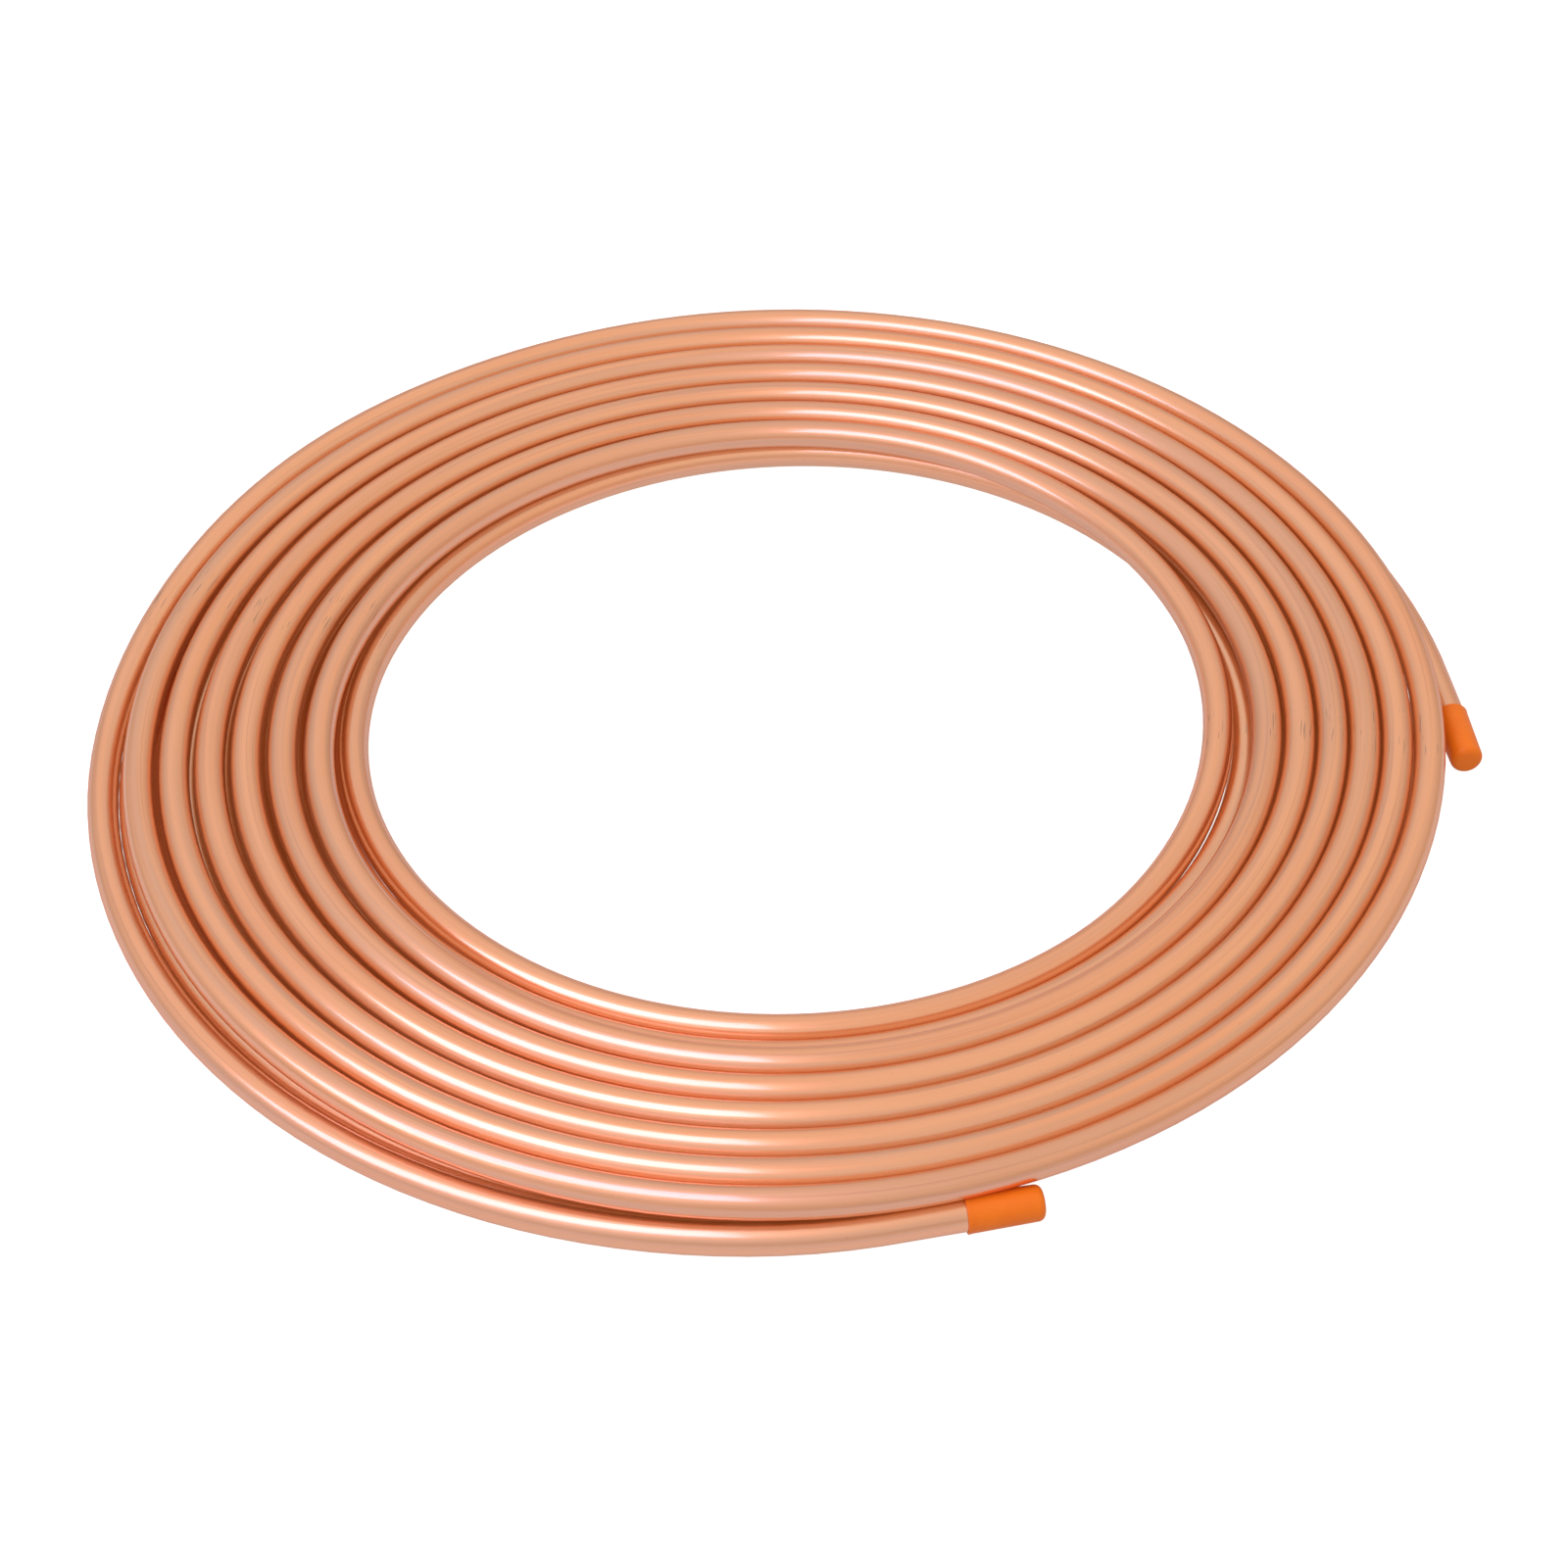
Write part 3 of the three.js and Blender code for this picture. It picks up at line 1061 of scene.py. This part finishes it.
# ---- The studio ---------------------------------------------------------------------------------
@dataclass(frozen=True)
class SoftBox:
    """One soft lamp: a lit rectangle that faces a point. Its places and sizes are in metres."""

    name: str
    place: tuple
    aim: tuple
    size: tuple
    power: float
    colour: tuple

    def build(self) -> None:
        """Add the lamp to the scene."""
        lamp = bpy.data.lights.new(self.name, "AREA")
        lamp.shape = "RECTANGLE"
        lamp.size, lamp.size_y = self.size
        lamp.energy = self.power
        lamp.color = self.colour
        holder = bpy.data.objects.new(self.name, lamp)
        holder.location = self.place
        facing = Vector(self.aim) - Vector(self.place)
        holder.rotation_euler = facing.to_track_quat("-Z", "Y").to_euler()
        bpy.context.scene.collection.objects.link(holder)


@dataclass
class Studio:
    """The camera, the pale floor and the soft light."""

    # Camera: how far from the coil's axis on the floor, how high and how tilted in degrees, and where
    # it looks, in millimetres from that axis.
    distance: float = 950.0
    elevation: float = 41.65
    roll: float = -1.84
    target: tuple = (1.26, -26.61)
    # Its focal length and the picture's width in the picture's own dots, and its sensor in millimetres.
    focal_pixels: float = 3030.36
    picture_pixels: float = 1600.0
    sensor: float = 36.0
    # How near and how far the camera sees, in metres.
    clip: tuple = (0.01, 50.0)
    # The room's light: its strength at the horizon and above a height, and its tint from left to right.
    horizon: float = 0.56
    zenith: float = 0.86
    zenith_height: float = 0.75
    room_left: tuple = (1.0, 0.92, 0.84, 1.0)
    room_right: tuple = (1.0, 0.87, 0.72, 1.0)
    room_turn: tuple = (-0.5, 0.6)
    # The floor, in metres, just under the coil, with a faint grain between two greys.
    floor_size: float = 30.0
    floor_height: float = -0.0002
    floor_grain: tuple = (40.0, 4.0, 0.5)
    floor_dark: tuple = (0.34, 0.34, 0.34, 1.0)
    floor_light: tuple = (0.36, 0.36, 0.36, 1.0)
    floor_roughness: float = 0.9
    floor_glow_seen: float = 0.94
    floor_glow_mirrored: float = 0.42
    # The ring of floor under the turns, painted in the warm colour of light bounced by the copper round
    # it: how far the middle of each edge is off the coil's axis, its radius, and over how far it fades.
    covered_from: tuple = (6.5, 142.0, 3.0)
    covered_to: tuple = (-3.5, 202.5, -3.0)
    painted_copper_bounce: tuple = (0.62, 0.16, 0.05, 1.0)
    # The floor's least glow: a painted warm glow of bounced light under the turns, and white away from
    # them.
    least_glow_painted_under_turns: float = 0.20
    # A broad box overhead to the left, whose right edge is over the middle of the coil.
    left_box: SoftBox = SoftBox(
        name="left_box",
        place=(-0.89, -0.45, 1.05),
        aim=(-0.89, -0.45, 0.0),
        size=(1.6, 0.75),
        power=10.0,
        colour=(0.71, 0.625, 1.0),
    )

    def build(self) -> None:
        """Set up the camera, the floor, the surroundings and the lamp."""
        self._camera()
        self._floor()
        self._surroundings()
        self.left_box.build()

    def _camera(self) -> None:
        """Place the camera and make it the scene's own."""
        rise = math.radians(self.elevation)
        axis = Vector((COIL_AXIS[0], COIL_AXIS[1], 0.0))
        eye = axis + Vector((0.0, -math.cos(rise), math.sin(rise))) * self.distance
        aim = axis + Vector((self.target[0], self.target[1], 0.0))
        forward = (aim - eye).normalized()
        right = forward.cross(Vector((0.0, 0.0, 1.0))).normalized()
        up = right.cross(forward)
        tilt = math.radians(self.roll)
        rolled_right = right * math.cos(tilt) + up * math.sin(tilt)
        rolled_up = up * math.cos(tilt) - right * math.sin(tilt)
        lens = bpy.data.cameras.new("camera")
        lens.sensor_fit = "HORIZONTAL"
        lens.sensor_width = self.sensor
        lens.lens = self.focal_pixels / self.picture_pixels * self.sensor
        lens.clip_start, lens.clip_end = self.clip
        camera = bpy.data.objects.new("camera", lens)
        turn = Matrix((rolled_right, rolled_up, -forward)).transposed().to_4x4()
        camera.matrix_world = Matrix.Translation(eye * MM) @ turn
        bpy.context.scene.collection.objects.link(camera)
        bpy.context.scene.camera = camera

    def _floor(self) -> None:
        """Lay a wide pale floor under the coil."""
        deselect_all()
        bpy.ops.mesh.primitive_plane_add(
            size=self.floor_size, location=(0.0, 0.0, self.floor_height)
        )
        floor = bpy.context.object
        floor.name = "floor"
        bpy.ops.object.transform_apply(location=True)
        material, net, shader = new_material("pale_floor")
        path = net.add("ShaderNodeLightPath")
        place = net.add("ShaderNodeTexCoord").outputs["Object"]
        shade = net.blend(net.noise(place, *self.floor_grain), self.floor_dark, self.floor_light)
        shader.inputs["Roughness"].default_value = self.floor_roughness
        shader.inputs["Specular IOR Level"].default_value = 0.0
        # The floor stays in shade under the turns: it loses its white glow there, and is painted with
        # the warm colour and glow of light bounced by the copper.
        bare = self._uncovered(net, place)
        seen = net.maths("MULTIPLY", path.outputs["Is Camera Ray"], self.floor_glow_seen)
        mirrored = net.maths("MULTIPLY", path.outputs["Is Glossy Ray"], self.floor_glow_mirrored)
        glow = net.maths("MULTIPLY", bare, net.maths("ADD", seen, mirrored))
        glow = net.maths("MAXIMUM", glow, self.least_glow_painted_under_turns)
        net.link(glow, shader.inputs["Emission Strength"])
        # Painted light: the floor under the turns takes the warm colour of light bounced by the copper.
        net.link(net.blend(bare, self.painted_copper_bounce, WHITE), shader.inputs["Emission Color"])
        net.link(net.blend(bare, self.painted_copper_bounce, shade), shader.inputs["Base Color"])
        floor.data.materials.append(material)

    def _uncovered(self, net: NodeNet, place: Socket) -> Socket:
        """Mask the floor that no part of the wound turns covers; where it is 0, bounced light is
        painted on the floor.

        Args:
            net: The floor material's node net.
            place: The place on the floor.

        Returns:
            The output of the mask, 0 under the turns and 1 away from them.
        """
        masks = []
        for shift, radius, fade in (self.covered_from, self.covered_to):
            away = net.add("ShaderNodeVectorMath", operation="DISTANCE")
            net.link(place, away.inputs[0])
            away.inputs[1].default_value = ((COIL_AXIS[0] + shift) * MM, COIL_AXIS[1] * MM, 0.0)
            masks.append(net.ramp(away.outputs["Value"], (radius + fade) * MM, radius * MM))
        return net.maths("ADD", masks[0], masks[1], clamp=True)

    def _surroundings(self) -> None:
        """Light the scene evenly from a pale room that the camera sees as white."""
        world = bpy.data.worlds.new("pale_room")
        world.use_nodes = True
        bpy.context.scene.world = world
        net = NodeNet(world.node_tree)
        background = world.node_tree.nodes["Background"]
        seen = net.add("ShaderNodeLightPath").outputs["Is Camera Ray"]
        parts = net.add("ShaderNodeSeparateXYZ")
        net.link(net.add("ShaderNodeTexCoord").outputs["Generated"], parts.inputs[0])
        lit = net.ramp(parts.outputs["Z"], 0.0, self.zenith_height, self.horizon, self.zenith)
        strength = net.add("ShaderNodeMix", data_type="FLOAT")
        net.link(seen, strength.inputs["Factor"])
        net.link(lit, strength.inputs["A"])
        strength.inputs["B"].default_value = 1.0
        net.link(strength.outputs["Result"], background.inputs["Strength"])
        room = net.ramp(parts.outputs["X"], *self.room_turn)
        room = net.blend(room, self.room_left, self.room_right)
        net.link(net.blend(seen, room, WHITE), background.inputs["Color"])


def main() -> None:
    """Build every piece, tie it to the frame and note the sizes."""
    logging.basicConfig(level=logging.INFO, format="%(name)s: %(message)s")
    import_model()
    Studio().build()
    groups = SurfaceGroups()

    coil = TubeCoil()
    tube = coil.build()
    coil.dress(tube, groups)
    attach(tube, "root")
    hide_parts("tube_coil")
    points = coil.winding.route()
    length = coil.winding.along(points)[-1]
    LOG.info("%s: %.2f m of tube, %d faces", tube.name, length * MM, len(tube.data.polygons))

    plastic = CapPlastic().material(groups)
    for end in End:
        cap = EndCap(end)
        shell = cap.build(points)
        cap.dress(shell, plastic)
        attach(shell, "root")
        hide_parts(end.value)
        LOG.info("%s: %d faces", shell.name, len(shell.data.polygons))

    bpy.context.scene.view_settings.view_transform = "Standard"


if __name__ == "__main__":
    main()
